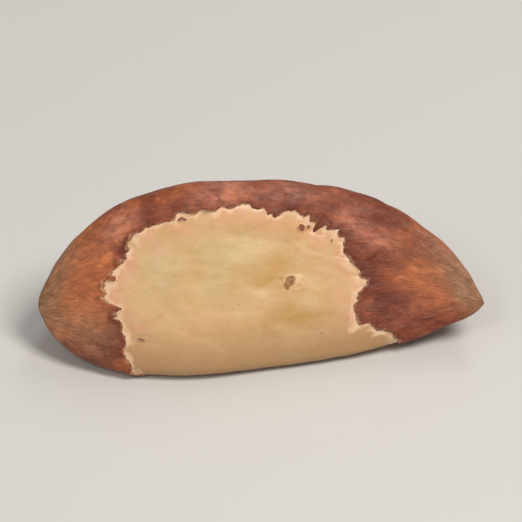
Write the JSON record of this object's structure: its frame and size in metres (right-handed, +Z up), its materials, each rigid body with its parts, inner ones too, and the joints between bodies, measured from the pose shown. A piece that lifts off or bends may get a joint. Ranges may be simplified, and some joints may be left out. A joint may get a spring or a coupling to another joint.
{
  "type": "shelled brazil nut",
  "caption": "Three-sided curved nut kernel with a keel, an arched back and two pointed ends, its thin brown skin rubbed off in patches to cream flesh.",
  "frame": {"origin": "on the surface that the nut lies on, under the middle of its bounding box", "axes": "+X along the nut towards its sharper tip, +Z up, and the flat side that shows in the picture faces -Y and up"},
  "size_m": [0.04, 0.018, 0.0145],
  "materials": {
    "kernel": null
  },
  "bodies": {
    "root": {"kernel": "kernel"}
  },
  "joints": []
}
